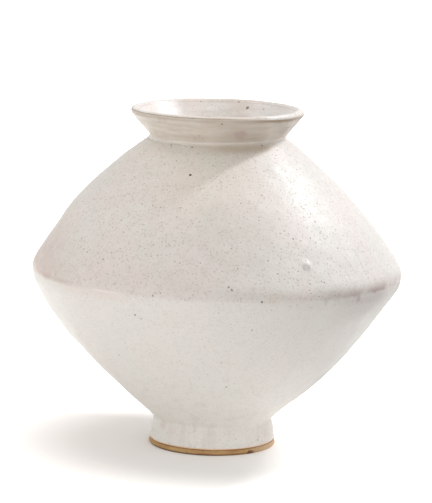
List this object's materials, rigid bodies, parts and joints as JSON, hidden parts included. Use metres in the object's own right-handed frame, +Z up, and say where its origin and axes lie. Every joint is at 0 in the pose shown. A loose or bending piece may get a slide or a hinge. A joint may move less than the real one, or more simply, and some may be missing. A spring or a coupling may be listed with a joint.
{
  "type": "vase",
  "caption": "Tent-shaped glazed stoneware vase: two cone-like bowls joined at a rounded waist, a low flared foot ring and a short flaring neck with a rounded lip.",
  "frame": {"origin": "centre of the foot ring's underside, on the surface that the vase stands on", "axes": "+Z up along the wheel's axis, out of the mouth; -Y faces the viewer of the picture and +X is to that viewer's right"},
  "size_m": [0.32, 0.32, 0.294],
  "materials": {
    "bare_clay": "unglazed fired stoneware, tan brown, fine grit, matt",
    "slip": "fired joining slip, brown, matt",
    "outer_glaze": "satin white stoneware glaze with pinholes, iron specks and pinkish-brown breaks at the edges",
    "liner_glaze": "satin white stoneware glaze over fine throwing lines, a few iron specks"
  },
  "bodies": {
    "root": {"foot_ring": "bare_clay", "foot_slip_seam": "slip", "lower_bowl": "bare_clay", "waist_slip_seam": "slip", "upper_shoulder": "bare_clay", "neck_slip_seam": "slip", "flared_neck": "bare_clay", "outer_glaze": "outer_glaze", "liner_glaze": "liner_glaze"}
  },
  "joints": []
}
